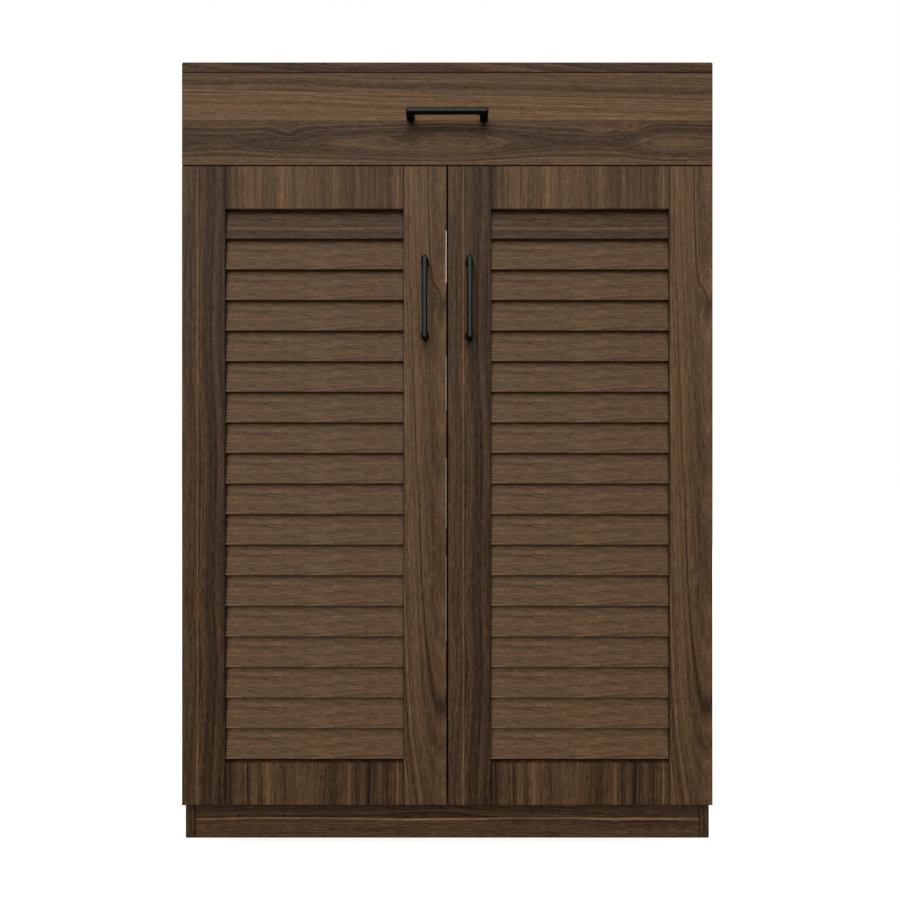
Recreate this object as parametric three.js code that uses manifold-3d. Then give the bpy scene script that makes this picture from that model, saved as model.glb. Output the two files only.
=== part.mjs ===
// Shoe cabinet: one full-width drawer over a pair of louvred doors, on a plinth.
// Millimetres, +Z up, front towards -Y, origin on the floor at the centre of the bounding box.

import * as THREE from "three";
import { mergeVertices } from "three/addons/utils/BufferGeometryUtils.js";
import Module from "manifold-3d";

const wasm = await Module();
wasm.setup();

// ---------- driving dimensions ----------

const WIDTH = 700;
const HEIGHT = 1030;
const DEPTH = 350; // faces of the fronts to the back edges of the sides
const HANDLE_REACH = 35; // handles stand this far off the fronts
const BOARD = 13; // carcass boards
const FRONT = 16; // doors and drawer front
const FRONT_GAP = 2; // gap behind the fronts
const DOOR_GAP = 1.5; // gap between the doors
const ROW_GAP = 0.8; // gap between the doors and the drawer front
const TOP_GAP = 0.4; // gap between the drawer front and the top
const PLINTH = 50; // floor to the bottom edge of the doors
const FIT = 0.3; // running gap between cut neighbours

const HALF = WIDTH / 2;
const INSIDE = HALF - BOARD; // half width between the sides
const FACE = HANDLE_REACH - (DEPTH + HANDLE_REACH) / 2; // front face of the fronts
const FRONT_BACK = FACE + FRONT; // back face of the fronts
const CARCASS = FRONT_BACK + FRONT_GAP; // front edges of the carcass
const BACK = FACE + DEPTH;

// ---------- carcass ----------

const TOP_UNDER = HEIGHT - BOARD;
const TOP_CHAMFER = 2;
const HARDBOARD = 3;
const GROOVE_DEPTH = 6;
const BACK_FACE = BACK - 12.7; // front face of the thin back panel
const FLOOR_PANEL_TOP = PLINTH + BOARD;
const DIVIDER_UNDER = 886;
const DIVIDER_TOP = DIVIDER_UNDER + BOARD;

// ---------- shelves ----------

const SHELF_FRONT = CARCASS + 14;
const SHELF_BACK = BACK_FACE - 6;
const SHELF_SIDE_GAP = 1;
const LEVEL_HEIGHT = (DIVIDER_UNDER - FLOOR_PANEL_TOP - 3 * BOARD) / 4;
const PIN_RADIUS = 2.5;
const PIN_IN_BOARD = 8;
const PIN_OUT = 9;
const PIN_INSET = 37; // pins sit this far in from the shelf's front and back edges

// ---------- doors ----------

const DOOR_TOP = 893.5;
const DOOR_INNER = DOOR_GAP / 2;
const STILE = 57;
const RAIL = 57;
const OPENING_LOW = PLINTH + RAIL;
const OPENING_HIGH = DOOR_TOP - RAIL;
const TONGUE = 7;
const TONGUE_CENTRE = FACE + FRONT / 2;
const SLATS = 18;
const SLAT_PITCH = 40.45;
const SLAT_RISE = 48; // height of one slat, so each slat tucks behind the one above
const SLAT_THICK = 4.5;
const SLAT_SET_BACK = 2; // lower front edge of a slat behind the frame's face
const SLAT_LEAN = 9.2; // how far the top of a slat stands behind its foot
const TOP_SLAT_DROP = 38.7; // foot of the highest slat below the top rail

// ---------- drawer ----------

const DRAWER_TOP = TOP_UNDER - TOP_GAP;
const DRAWER_BOTTOM = DOOR_TOP + ROW_GAP;
const DRAWER_LENGTH = 300;
const DRAWER_BOARD = 12;
const DRAWER_SIDE_LOW = 915;
const DRAWER_SIDE_HIGH = 1000;
const SLIDE_SPACE = 12.7;
const DRAWER_OUT = INSIDE - SLIDE_SPACE; // outer faces of the drawer sides
const DRAWER_IN = DRAWER_OUT - DRAWER_BOARD;
const DRAWER_BASE = 4; // thickness of the drawer bottom
const DRAWER_BASE_LOW = DRAWER_SIDE_LOW + 6;
const SLIDE_HEIGHT = 957;
const SLIDE_START = CARCASS + 3;
const SHEET = 1.2; // steel of the slides

// ---------- handles ----------

const HOLE_SPACING = 96;
const BAR_WIDTH = 7;
const BAR_DEPTH = 11;
const POST_RADIUS = 5.25; // round posts that carry the bar
const POST_HEIGHT = 31;
const DRAWER_HANDLE_Z = 955.4;
const DOOR_HANDLE_Z = 716;
const DOOR_HANDLE_X = 29;

// ---------- concealed hinges ----------
// Distances across are from the outer face of the side, distances forward from its front edge.

const HINGE_HEIGHTS = { lower: 140, upper: 802 };
const ARM_PIN_ACROSS = 35.2;
const ARM_PIN_FORWARD = -1.7;
const CUP_PIN_ACROSS = 11.4;
const CUP_PIN_FORWARD = 4.7;
const HINGE_PIN_RADIUS = 1;
const CUP_CENTRE = 22;
const CUP_RADIUS = 17.5;
const CUP_DEPTH = 10.5;
const CUP_WALL = 1;
const CUP_RIM = 19.5;
const LINK_HALF_HEIGHT = 4;
const CHEEK = 2;

// ---------- materials ----------

const walnut = { color: 0x4a3a2e, roughness: 0.55, metalness: 0 };
const walnutTop = { color: 0x50392d, roughness: 0.5, metalness: 0 };
const walnutInside = { color: 0x46372c, roughness: 0.6, metalness: 0 };
const hardboard = { color: 0x3d3027, roughness: 0.8, metalness: 0 };
const blackMetal = { color: 0x1b1a19, roughness: 0.5, metalness: 0.3 };
const zincSteel = { color: 0xa9abad, roughness: 0.35, metalness: 0.9 };
const nickel = { color: 0xb9b6b0, roughness: 0.25, metalness: 1 };
const rubber = { color: 0x2a2a2a, roughness: 0.9, metalness: 0 };

// ---------- shape helpers ----------

const cabinet = new THREE.Group();
cabinet.name = "shoe_cabinet";

function add(name, geometry, look) {
  const mesh = new THREE.Mesh(geometry, new THREE.MeshStandardMaterial(look));
  mesh.name = name;
  cabinet.add(mesh);
}

// A box between two corners.
function block(x0, x1, y0, y1, z0, z1) {
  const size = [Math.abs(x1 - x0), Math.abs(y1 - y0), Math.abs(z1 - z0)];
  const box = new THREE.BoxGeometry(...size);
  return box.translate((x0 + x1) / 2, (y0 + y1) / 2, (z0 + z1) / 2);
}

function shapeOf(points) {
  return new THREE.Shape(points.map(([a, b]) => new THREE.Vector2(a, b)));
}

// Lays a shape drawn in X and Y, and raised along Z, over the plane across the named axis.
function layAcross(geometry, axis) {
  const turn = new THREE.Matrix4();
  if (axis === "x") turn.set(0, 0, 1, 0, 1, 0, 0, 0, 0, 1, 0, 0, 0, 0, 0, 1);
  if (axis === "y") turn.set(1, 0, 0, 0, 0, 0, -1, 0, 0, 1, 0, 0, 0, 0, 0, 1);
  return geometry.applyMatrix4(turn);
}

// A straight bar: its outline is [y, z] along x, [x, z] along y and [x, y] along z.
function prism(axis, outline, low, high) {
  const shape = Array.isArray(outline) ? shapeOf(outline) : outline;
  const bar = new THREE.ExtrudeGeometry(shape, {
    depth: high - low,
    bevelEnabled: false,
    curveSegments: 10,
  });
  bar.translate(0, 0, axis === "y" ? -high : low);
  return layAcross(bar, axis);
}

// A round bar along the named axis; the centre is given in the plane across it.
function rod(axis, radius, [a, b], low, high, segments) {
  const circle = new THREE.Shape();
  circle.absarc(a, b, radius, 0, 2 * Math.PI, false);
  const bar = new THREE.ExtrudeGeometry(circle, {
    depth: high - low,
    bevelEnabled: false,
    curveSegments: segments,
  });
  bar.translate(0, 0, axis === "y" ? -high : low);
  return layAcross(bar, axis);
}

function signedVolume(positions, triangles) {
  const corners = [new THREE.Vector3(), new THREE.Vector3(), new THREE.Vector3()];
  let volume = 0;
  for (let i = 0; i < triangles.length; i += 3) {
    corners.forEach((corner, k) => corner.fromArray(positions, triangles[i + k] * 3));
    volume += corners[0].dot(corners[1].clone().cross(corners[2])) / 6;
  }
  return volume;
}

function toSolid(geometry) {
  const bare = geometry.clone();
  bare.deleteAttribute("normal");
  bare.deleteAttribute("uv");
  const merged = mergeVertices(bare, 1e-4);
  const vertProperties = new Float32Array(merged.attributes.position.array);
  const triVerts = new Uint32Array(merged.index.array);
  if (signedVolume(vertProperties, triVerts) < 0) triVerts.reverse();
  return new wasm.Manifold(new wasm.Mesh({ numProp: 3, vertProperties, triVerts }));
}

function toGeometry(solid) {
  const mesh = solid.getMesh();
  const geometry = new THREE.BufferGeometry();
  geometry.setAttribute("position", new THREE.BufferAttribute(mesh.vertProperties, 3));
  geometry.setIndex(new THREE.BufferAttribute(mesh.triVerts, 1));
  geometry.computeVertexNormals();
  return geometry;
}

function join(...pieces) {
  return toGeometry(pieces.map(toSolid).reduce((whole, piece) => whole.add(piece)));
}

function cut(piece, ...tools) {
  return toGeometry(tools.map(toSolid).reduce((left, tool) => left.subtract(tool), toSolid(piece)));
}

// ---------- carcass ----------

const shelfLevels = {
  lower: FLOOR_PANEL_TOP + LEVEL_HEIGHT,
  middle: FLOOR_PANEL_TOP + 2 * LEVEL_HEIGHT + BOARD,
  upper: FLOOR_PANEL_TOP + 3 * LEVEL_HEIGHT + 2 * BOARD,
};

function pinPlaces() {
  const places = [];
  for (const level of ["lower", "upper"]) {
    const z = shelfLevels[level] - PIN_RADIUS;
    places.push({ level, end: "front", y: SHELF_FRONT + PIN_INSET, z });
    places.push({ level, end: "back", y: SHELF_BACK - PIN_INSET, z });
  }
  return places;
}

function sidePanel(side) {
  const inner = side * INSIDE;
  const groove = side * (INSIDE + GROOVE_DEPTH + FIT);
  const outline = [
    [side * HALF, CARCASS],
    [side * HALF, BACK],
    [inner, BACK],
    [inner, BACK_FACE + HARDBOARD + FIT],
    [groove, BACK_FACE + HARDBOARD + FIT],
    [groove, BACK_FACE - FIT],
    [inner, BACK_FACE - FIT],
    [inner, CARCASS],
  ];
  const drill = (place) => {
    const ends = [side * (INSIDE - 5), side * (INSIDE + PIN_IN_BOARD + FIT)];
    const span = [Math.min(...ends), Math.max(...ends)];
    return rod("x", PIN_RADIUS + FIT, [place.y, place.z], ...span, 8);
  };
  return cut(prism("z", outline, 0, TOP_UNDER), ...pinPlaces().map(drill));
}

function topPanel() {
  const outline = [
    [-HALF, TOP_UNDER],
    [HALF, TOP_UNDER],
    [HALF, HEIGHT - TOP_CHAMFER],
    [HALF - TOP_CHAMFER, HEIGHT],
    [TOP_CHAMFER - HALF, HEIGHT],
    [-HALF, HEIGHT - TOP_CHAMFER],
  ];
  return prism("y", outline, FACE, BACK);
}

function buildCarcass() {
  const betweenSides = [-INSIDE, INSIDE];
  const backPanelHalf = INSIDE + GROOVE_DEPTH;
  const panelBack = BACK_FACE - FIT;
  add("left_side_panel", sidePanel(-1), walnut);
  add("right_side_panel", sidePanel(1), walnut);
  add("top_panel", topPanel(), walnutTop);
  add(
    "bottom_panel",
    block(...betweenSides, CARCASS, panelBack, PLINTH, FLOOR_PANEL_TOP),
    walnutInside,
  );
  add(
    "divider_panel",
    block(...betweenSides, CARCASS, panelBack, DIVIDER_UNDER, DIVIDER_TOP),
    walnutInside,
  );
  add(
    "back_panel",
    block(-backPanelHalf, backPanelHalf, BACK_FACE, BACK_FACE + HARDBOARD, PLINTH, TOP_UNDER - FIT),
    hardboard,
  );
  add("kick_board", block(...betweenSides, CARCASS, CARCASS + BOARD, 0, PLINTH), walnut);
  add("rear_plinth_board", block(...betweenSides, panelBack - BOARD, panelBack, 0, PLINTH), walnut);
}

// ---------- shelves and their pins ----------

// A round pin with chamfered ends, half in the side and half under the shelf.
function shelfPin(side, y, z) {
  const chamfer = 0.8;
  const profile = [
    new THREE.Vector2(0, -PIN_OUT),
    new THREE.Vector2(PIN_RADIUS - chamfer, -PIN_OUT),
    new THREE.Vector2(PIN_RADIUS, chamfer - PIN_OUT),
    new THREE.Vector2(PIN_RADIUS, PIN_IN_BOARD - chamfer),
    new THREE.Vector2(PIN_RADIUS - chamfer, PIN_IN_BOARD),
    new THREE.Vector2(0, PIN_IN_BOARD),
  ];
  const pin = new THREE.LatheGeometry(profile, 16);
  pin.rotateZ(-side * Math.PI / 2);
  return pin.translate(side * INSIDE, y, z);
}

function buildShelves() {
  const loose = INSIDE - SHELF_SIDE_GAP;
  for (const [level, z] of Object.entries(shelfLevels)) {
    const half = level === "middle" ? INSIDE : loose;
    add(`${level}_shelf`, block(-half, half, SHELF_FRONT, SHELF_BACK, z, z + BOARD), walnutInside);
  }
  for (const { level, end, y, z } of pinPlaces()) {
    add(`${level}_shelf_pin_left_${end}`, toGeometry(toSolid(shelfPin(-1, y, z))), zincSteel);
    add(`${level}_shelf_pin_right_${end}`, toGeometry(toSolid(shelfPin(1, y, z))), zincSteel);
  }
}

// ---------- handles ----------

// A bridge handle drawn with its posts standing on y = 0 and its bar at y = HANDLE_REACH, along X.
function handle() {
  const outer = HOLE_SPACING / 2 + POST_RADIUS;
  const inner = HOLE_SPACING / 2 - POST_RADIUS;
  const under = HANDLE_REACH - BAR_DEPTH;
  const shoulder = 2.5;
  const fillet = 6;
  const bevel = 1.9;
  const side = new THREE.Shape();
  side.moveTo(-outer, 0);
  side.lineTo(-inner, 0);
  side.lineTo(-inner, under - fillet);
  side.absarc(fillet - inner, under - fillet, fillet, Math.PI, Math.PI / 2, true);
  side.lineTo(inner - fillet, under);
  side.absarc(inner - fillet, under - fillet, fillet, Math.PI / 2, 0, true);
  side.lineTo(inner, 0);
  side.lineTo(outer, 0);
  side.lineTo(outer, HANDLE_REACH - shoulder);
  side.absarc(outer - shoulder, HANDLE_REACH - shoulder, shoulder, 0, Math.PI / 2, false);
  side.lineTo(shoulder - outer, HANDLE_REACH);
  side.absarc(shoulder - outer, HANDLE_REACH - shoulder, shoulder, Math.PI / 2, Math.PI, false);
  side.closePath();
  const bridge = new THREE.ExtrudeGeometry(side, {
    depth: BAR_WIDTH - 2 * bevel,
    bevelThickness: bevel,
    bevelSize: bevel,
    bevelOffset: -bevel,
    bevelSegments: 1,
    curveSegments: 5,
  });
  bridge.translate(0, 0, bevel - BAR_WIDTH / 2);
  const posts = [-1, 1].map((end) => {
    const post = new THREE.CylinderGeometry(POST_RADIUS, POST_RADIUS, POST_HEIGHT, 24);
    return post.translate((end * HOLE_SPACING) / 2, POST_HEIGHT / 2, 0);
  });
  return join(bridge, ...posts);
}

// Turns a handle to stand off the fronts, with its bar level or upright.
function placedHandle(upright, x, z) {
  const bar = handle();
  bar.rotateZ(Math.PI);
  if (upright) bar.rotateY(Math.PI / 2);
  return bar.translate(x, FACE, z);
}

// ---------- doors ----------

// X of a point on a door or hinge, measured in from the outer face of the side.
function across(side, distance) {
  return side * (HALF - distance);
}

function cupHole(side, height) {
  const spot = [across(side, CUP_CENTRE), height];
  return rod("y", CUP_RADIUS + FIT, spot, FRONT_BACK - CUP_DEPTH - FIT, FRONT_BACK + 1, 16);
}

// A stile from one x to another, grooved along the edge that faces the louvre.
function stile(plainEdge, groovedEdge) {
  const inward = Math.sign(plainEdge - groovedEdge);
  const floor = groovedEdge + inward * (GROOVE_DEPTH + FIT);
  const low = TONGUE_CENTRE - TONGUE / 2 - FIT;
  const high = TONGUE_CENTRE + TONGUE / 2 + FIT;
  const outline = [
    [plainEdge, FACE],
    [groovedEdge, FACE],
    [groovedEdge, low],
    [floor, low],
    [floor, high],
    [groovedEdge, high],
    [groovedEdge, FRONT_BACK],
    [plainEdge, FRONT_BACK],
  ];
  return prism("z", outline, PLINTH, DOOR_TOP);
}

// A rail with a tongue at each end, between two edges of the louvre opening.
function rail(left, right, low, high) {
  const body = block(left, right, FACE, FRONT_BACK, low, high);
  const reach = GROOVE_DEPTH;
  const tongueLow = TONGUE_CENTRE - TONGUE / 2;
  const tongue = block(left - reach, right + reach, tongueLow, tongueLow + TONGUE, low, high);
  return join(body, tongue);
}

// The slats of one door on their two end strips, which sit in the grooves of the stiles.
function louvre(left, right) {
  const foot = FACE + SLAT_SET_BACK;
  const lowest = OPENING_HIGH - TOP_SLAT_DROP - (SLATS - 1) * SLAT_PITCH;
  const slats = [];
  for (let i = 0; i < SLATS; i += 1) {
    const low = lowest + i * SLAT_PITCH;
    const outline = [
      [foot, low],
      [foot + SLAT_THICK, low],
      [foot + SLAT_THICK + SLAT_LEAN, low + SLAT_RISE],
      [foot + SLAT_LEAN, low + SLAT_RISE],
    ];
    slats.push(prism("x", outline, left + FIT, right - FIT));
  }
  const low = OPENING_LOW + FIT;
  const high = OPENING_HIGH - FIT;
  const stripLow = TONGUE_CENTRE - TONGUE / 2;
  const stripHigh = TONGUE_CENTRE + TONGUE / 2;
  const strips = [
    block(left - GROOVE_DEPTH, left + 1, stripLow, stripHigh, low, high),
    block(right - 1, right + GROOVE_DEPTH, stripLow, stripHigh, low, high),
  ];
  const pack = [...slats, ...strips].map(toSolid).reduce((whole, piece) => whole.add(piece));
  const room = block(left - STILE, right + STILE, FACE, FRONT_BACK, low, high);
  return toGeometry(pack.intersect(toSolid(room)));
}

function buildDoor(name, side) {
  const outer = side * HALF;
  const inner = side * DOOR_INNER;
  const outerEdge = outer - side * STILE;
  const innerEdge = inner + side * STILE;
  const [left, right] = [Math.min(outerEdge, innerEdge), Math.max(outerEdge, innerEdge)];
  const holes = Object.values(HINGE_HEIGHTS).map((height) => cupHole(side, height));
  add(`${name}_door_outer_stile`, cut(stile(outer, outerEdge), ...holes), walnut);
  add(`${name}_door_inner_stile`, stile(inner, innerEdge), walnut);
  add(`${name}_door_top_rail`, rail(left, right, OPENING_HIGH, DOOR_TOP), walnut);
  add(`${name}_door_bottom_rail`, rail(left, right, PLINTH, OPENING_LOW), walnut);
  add(`${name}_door_louvre`, louvre(left, right), walnut);
  add(`${name}_door_handle`, placedHandle(true, side * DOOR_HANDLE_X, DOOR_HANDLE_Z), blackMetal);
}

// ---------- hinges ----------

function armPin(side) {
  return [across(side, ARM_PIN_ACROSS), CARCASS - ARM_PIN_FORWARD];
}

function cupPin(side) {
  return [across(side, CUP_PIN_ACROSS), CARCASS - CUP_PIN_FORWARD];
}

// Mounting plate on the side, arm standing on it and a forked tip that holds the link's pin.
function hingeArm(side, height) {
  const plate = 2.5;
  const plateCentre = CARCASS + 37;
  const halfArm = LINK_HALF_HEIGHT + FIT + CHEEK;
  const off = (distance) => side * (INSIDE - distance);
  const [pinX, pinY] = armPin(side);
  const tip = 2.3;
  const outline = [
    [off(plate - 0.5), plateCentre + 20],
    [off(13), plateCentre + 20],
    [off(14), CARCASS + 16],
    [pinX - side * tip, pinY + 4],
    [pinX - side * tip, pinY],
    [pinX - side * tip * 0.7, pinY - tip * 0.7],
    [pinX, pinY - tip],
    [pinX + side * tip * 0.7, pinY - tip * 0.7],
    [pinX + side * tip, pinY],
    [off(11), CARCASS + 12],
    [off(plate - 0.5), CARCASS + 16],
  ];
  const arm = prism("z", outline, height - halfArm, height + halfArm);
  const slotHalf = LINK_HALF_HEIGHT + FIT;
  const slotEnd = pinY + 5;
  const reach = [off(40), off(5)].sort((a, b) => a - b);
  const slot = block(...reach, CARCASS - 10, slotEnd, height - slotHalf, height + slotHalf);
  const bar = block(off(0), off(plate), plateCentre - 18, plateCentre + 20, height - 8, height + 8);
  const wing = block(off(0), off(plate), plateCentre - 5, plateCentre + 5, height - 27, height + 27);
  const pin = rod("z", HINGE_PIN_RADIUS, [pinX, pinY], height - halfArm, height + halfArm, 8);
  return join(cut(arm, slot), bar, wing, pin);
}

// A flat link with an eye around the arm's pin and another around the cup's pin.
function hingeLink(side, height) {
  const eye = 2.2;
  const web = 1.6;
  const [ax, ay] = armPin(side);
  const [bx, by] = cupPin(side);
  const length = Math.hypot(bx - ax, by - ay);
  const bend = Math.asin(web / 2 / eye);
  const outline = new THREE.Shape();
  outline.absarc(0, 0, eye, bend, 2 * Math.PI - bend, false);
  outline.absarc(length, 0, eye, Math.PI + bend, 3 * Math.PI - bend, false);
  outline.closePath();
  for (const centre of [0, length]) {
    const hole = new THREE.Path();
    hole.absarc(centre, 0, HINGE_PIN_RADIUS + FIT, 0, 2 * Math.PI, true);
    outline.holes.push(hole);
  }
  const link = new THREE.ExtrudeGeometry(outline, {
    depth: 2 * LINK_HALF_HEIGHT,
    bevelEnabled: false,
    curveSegments: 8,
  });
  link.rotateZ(Math.atan2(by - ay, bx - ax));
  return toGeometry(toSolid(link.translate(ax, ay, height - LINK_HALF_HEIGHT)));
}

// A round cup let into the door, with a rim, two screw wings, a cross pin and a notch in the
// rim that the link lies in when the door is wide open.
function hingeCup(side, height) {
  const inside = CUP_RADIUS - CUP_WALL;
  const profile = [
    new THREE.Vector2(0, -CUP_DEPTH),
    new THREE.Vector2(CUP_RADIUS, -CUP_DEPTH),
    new THREE.Vector2(CUP_RADIUS, 0),
    new THREE.Vector2(CUP_RIM, 0),
    new THREE.Vector2(CUP_RIM, CUP_WALL),
    new THREE.Vector2(inside, CUP_WALL),
    new THREE.Vector2(inside, CUP_WALL - CUP_DEPTH),
    new THREE.Vector2(0, CUP_WALL - CUP_DEPTH),
  ];
  const centre = across(side, CUP_CENTRE);
  const bowl = new THREE.LatheGeometry(profile, 32).translate(centre, FRONT_BACK, height);
  const wings = [-1, 1].map((end) => {
    const wingX = [across(side, CUP_CENTRE), across(side, CUP_CENTRE + 14)].sort((a, b) => a - b);
    const wingZ = [height + end * 17.5, height + end * 31].sort((a, b) => a - b);
    return block(...wingX, FRONT_BACK, FRONT_BACK + CUP_WALL, ...wingZ);
  });
  const [pinX, pinY] = cupPin(side);
  const offCentre = CUP_CENTRE - CUP_PIN_ACROSS;
  const reach = Math.sqrt(inside ** 2 - offCentre ** 2) + CUP_WALL / 2;
  const pin = rod("z", HINGE_PIN_RADIUS, [pinX, pinY], height - reach, height + reach, 8);
  const notchX = [across(side, CUP_CENTRE - CUP_RIM - 1), across(side, 7)].sort((a, b) => a - b);
  const notchY = [FRONT_BACK - 0.6, FRONT_BACK + CUP_WALL + 1];
  const halfNotch = LINK_HALF_HEIGHT + 2 * FIT;
  const notch = block(...notchX, ...notchY, height - halfNotch, height + halfNotch);
  return join(cut(bowl, notch), ...wings, pin);
}

function buildHinges(name, side) {
  for (const [level, height] of Object.entries(HINGE_HEIGHTS)) {
    add(`${name}_${level}_hinge_arm`, hingeArm(side, height), nickel);
    add(`${name}_${level}_hinge_link`, hingeLink(side, height), nickel);
    add(`${name}_${level}_hinge_cup`, hingeCup(side, height), nickel);
  }
}

// A soft pad on the divider's front edge that the closed door rests on.
function bumper(side) {
  const spot = [side * 30, DIVIDER_UNDER + 3.5];
  return rod("y", 3, spot, FRONT_BACK + 0.2, CARCASS, 6);
}

// ---------- drawer ----------

function drawerSide(side) {
  const floor = side * (DRAWER_IN + 5 + FIT);
  const outline = [
    [side * DRAWER_OUT, DRAWER_SIDE_LOW],
    [side * DRAWER_OUT, DRAWER_SIDE_HIGH],
    [side * DRAWER_IN, DRAWER_SIDE_HIGH],
    [side * DRAWER_IN, DRAWER_BASE_LOW + DRAWER_BASE + FIT],
    [floor, DRAWER_BASE_LOW + DRAWER_BASE + FIT],
    [floor, DRAWER_BASE_LOW - FIT],
    [side * DRAWER_IN, DRAWER_BASE_LOW - FIT],
    [side * DRAWER_IN, DRAWER_SIDE_LOW],
  ];
  return prism("y", outline, FRONT_BACK, FRONT_BACK + DRAWER_LENGTH);
}

function buildDrawer() {
  const rear = FRONT_BACK + DRAWER_LENGTH;
  const baseHalf = DRAWER_IN + 5;
  const baseTop = DRAWER_BASE_LOW + DRAWER_BASE;
  add(
    "drawer_front",
    block(-HALF, HALF, FACE, FRONT_BACK, DRAWER_BOTTOM, DRAWER_TOP),
    walnut,
  );
  add("drawer_left_side", drawerSide(-1), walnutInside);
  add("drawer_right_side", drawerSide(1), walnutInside);
  add(
    "drawer_back",
    block(-DRAWER_IN, DRAWER_IN, rear - DRAWER_BOARD, rear, baseTop + FIT, DRAWER_SIDE_HIGH),
    walnutInside,
  );
  add(
    "drawer_bottom",
    block(-baseHalf, baseHalf, FRONT_BACK, rear, DRAWER_BASE_LOW, baseTop),
    hardboard,
  );
  add("drawer_handle", placedHandle(false, 0, DRAWER_HANDLE_Z), blackMetal);
}

// ---------- drawer slides ----------

// A steel channel lying against a plane: web at `web`, lips out to `lips` from the side's face.
function channel(side, web, lips, halfHeight, start, end) {
  const inward = Math.sign(lips - web);
  const at = (distance) => side * (INSIDE - distance);
  const skin = web + inward * SHEET;
  const outline = [
    [at(web), SLIDE_HEIGHT - halfHeight],
    [at(lips), SLIDE_HEIGHT - halfHeight],
    [at(lips), SLIDE_HEIGHT - halfHeight + SHEET],
    [at(skin), SLIDE_HEIGHT - halfHeight + SHEET],
    [at(skin), SLIDE_HEIGHT + halfHeight - SHEET],
    [at(lips), SLIDE_HEIGHT + halfHeight - SHEET],
    [at(lips), SLIDE_HEIGHT + halfHeight],
    [at(web), SLIDE_HEIGHT + halfHeight],
  ];
  return prism("y", outline, start, end);
}

function buildSlides(name, side) {
  const end = SLIDE_START + DRAWER_LENGTH;
  add(`${name}_slide_cabinet_member`, channel(side, 0, 9.5, 17.5, SLIDE_START, end), zincSteel);
  add(`${name}_slide_middle_member`, channel(side, 4.5, 11, 15.5, SLIDE_START, end), zincSteel);
  add(
    `${name}_slide_drawer_member`,
    channel(side, SLIDE_SPACE, 7, 12.5, SLIDE_START, FRONT_BACK + DRAWER_LENGTH),
    zincSteel,
  );
}

// ---------- the whole cabinet ----------

buildCarcass();
buildShelves();
buildDrawer();
for (const [name, side] of [["left", -1], ["right", 1]]) {
  buildSlides(name, side);
  buildDoor(name, side);
  buildHinges(name, side);
  add(`${name}_door_bumper`, bumper(side), rubber);
}

export default cabinet;
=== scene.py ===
"""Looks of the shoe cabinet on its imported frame. Metres, +Z up, front towards -Y."""

import math

import bmesh
import bpy
from mathutils import Matrix, Vector


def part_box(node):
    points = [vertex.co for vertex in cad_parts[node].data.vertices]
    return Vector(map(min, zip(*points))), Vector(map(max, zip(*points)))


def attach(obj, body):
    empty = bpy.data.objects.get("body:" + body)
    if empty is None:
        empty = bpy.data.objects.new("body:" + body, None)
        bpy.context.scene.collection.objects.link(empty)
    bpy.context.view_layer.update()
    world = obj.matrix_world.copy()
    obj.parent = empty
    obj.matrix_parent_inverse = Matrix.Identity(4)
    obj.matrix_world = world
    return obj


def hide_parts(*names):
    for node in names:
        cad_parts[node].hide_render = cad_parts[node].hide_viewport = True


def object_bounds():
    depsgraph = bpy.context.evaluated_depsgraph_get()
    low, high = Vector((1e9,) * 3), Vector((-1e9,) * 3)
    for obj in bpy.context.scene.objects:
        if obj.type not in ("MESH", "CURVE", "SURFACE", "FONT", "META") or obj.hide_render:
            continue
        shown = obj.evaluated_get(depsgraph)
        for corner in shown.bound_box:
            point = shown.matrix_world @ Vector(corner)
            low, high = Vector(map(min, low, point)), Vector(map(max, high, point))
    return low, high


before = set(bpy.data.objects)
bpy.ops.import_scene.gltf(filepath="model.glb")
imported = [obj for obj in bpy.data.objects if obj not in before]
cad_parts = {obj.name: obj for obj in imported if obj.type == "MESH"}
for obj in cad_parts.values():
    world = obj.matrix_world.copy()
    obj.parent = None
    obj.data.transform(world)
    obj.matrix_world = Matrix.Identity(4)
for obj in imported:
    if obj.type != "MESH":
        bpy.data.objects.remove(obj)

cad_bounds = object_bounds()
MM = 0.001
AXES = {"x": 0, "y": 1, "z": 2}

# ---------- louvre, handle and hinge sizes that the boxes of the nodes don't give ----------

SLATS = 18
SLAT_PITCH = 40.45 * MM
SLAT_RISE = 48 * MM
SLAT_THICK = 4.5 * MM
SLAT_TENON = 5 * MM  # how far a slat goes into each stile
TOP_SLAT_DROP = 38.4 * MM  # foot of the highest slat below the top of the louvre
HANDLE_HOLES = 96 * MM
BAR_WIDTH = 7 * MM
BAR_DEPTH = 11 * MM
POST_RADIUS = 5.25 * MM  # round posts that carry the bar of a handle
POST_HEIGHT = 31 * MM
HOLE_PITCH = 32 * MM  # rows of shelf holes
HOLE_RADIUS = 2.8 * MM  # a little wider than the shelf pins
HOLE_DEPTH = 9 * MM
HOLES_EACH_WAY = 3  # further holes above and below each shelf pin
FRONT_THICK = 16 * MM
LOUVRE_TONGUE = 6 * MM  # the part of a louvre's end that lies inside a stile
NAILS = 7  # in each row across the back
NAIL_INSET = 40 * MM
CUP_LIP = 1.7 * MM  # overhang of a hinge cup's rim
CUP_POCKET_DEPTH = 10.8 * MM
HINGE_PLATE = 2.5 * MM
PLATE_SCREW_BACK = 20 * MM  # from the back end of the hinge arm
PLATE_SCREW_RISE = 18 * MM  # from the middle of the hinge, up and down
CUP_SCREW_INWARD = 7 * MM  # from the middle of the cup
CUP_SCREW_RISE = 25 * MM
HINGE_SCREW_RADIUS = 3.4 * MM
EDGE_SHADE_BAND = 0.9 * MM  # painted shade: darker band along the edges of a board
EDGE_RADIUS = 0.35 * MM
THIN_EDGE_RADIUS = 0.3 * MM

CAMERA_ACROSS = 3.6 * MM
CAMERA_AHEAD = 1260 * MM  # in front of the fronts
CAMERA_HEIGHT = 518.7 * MM


# ---------- colours ----------


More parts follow.
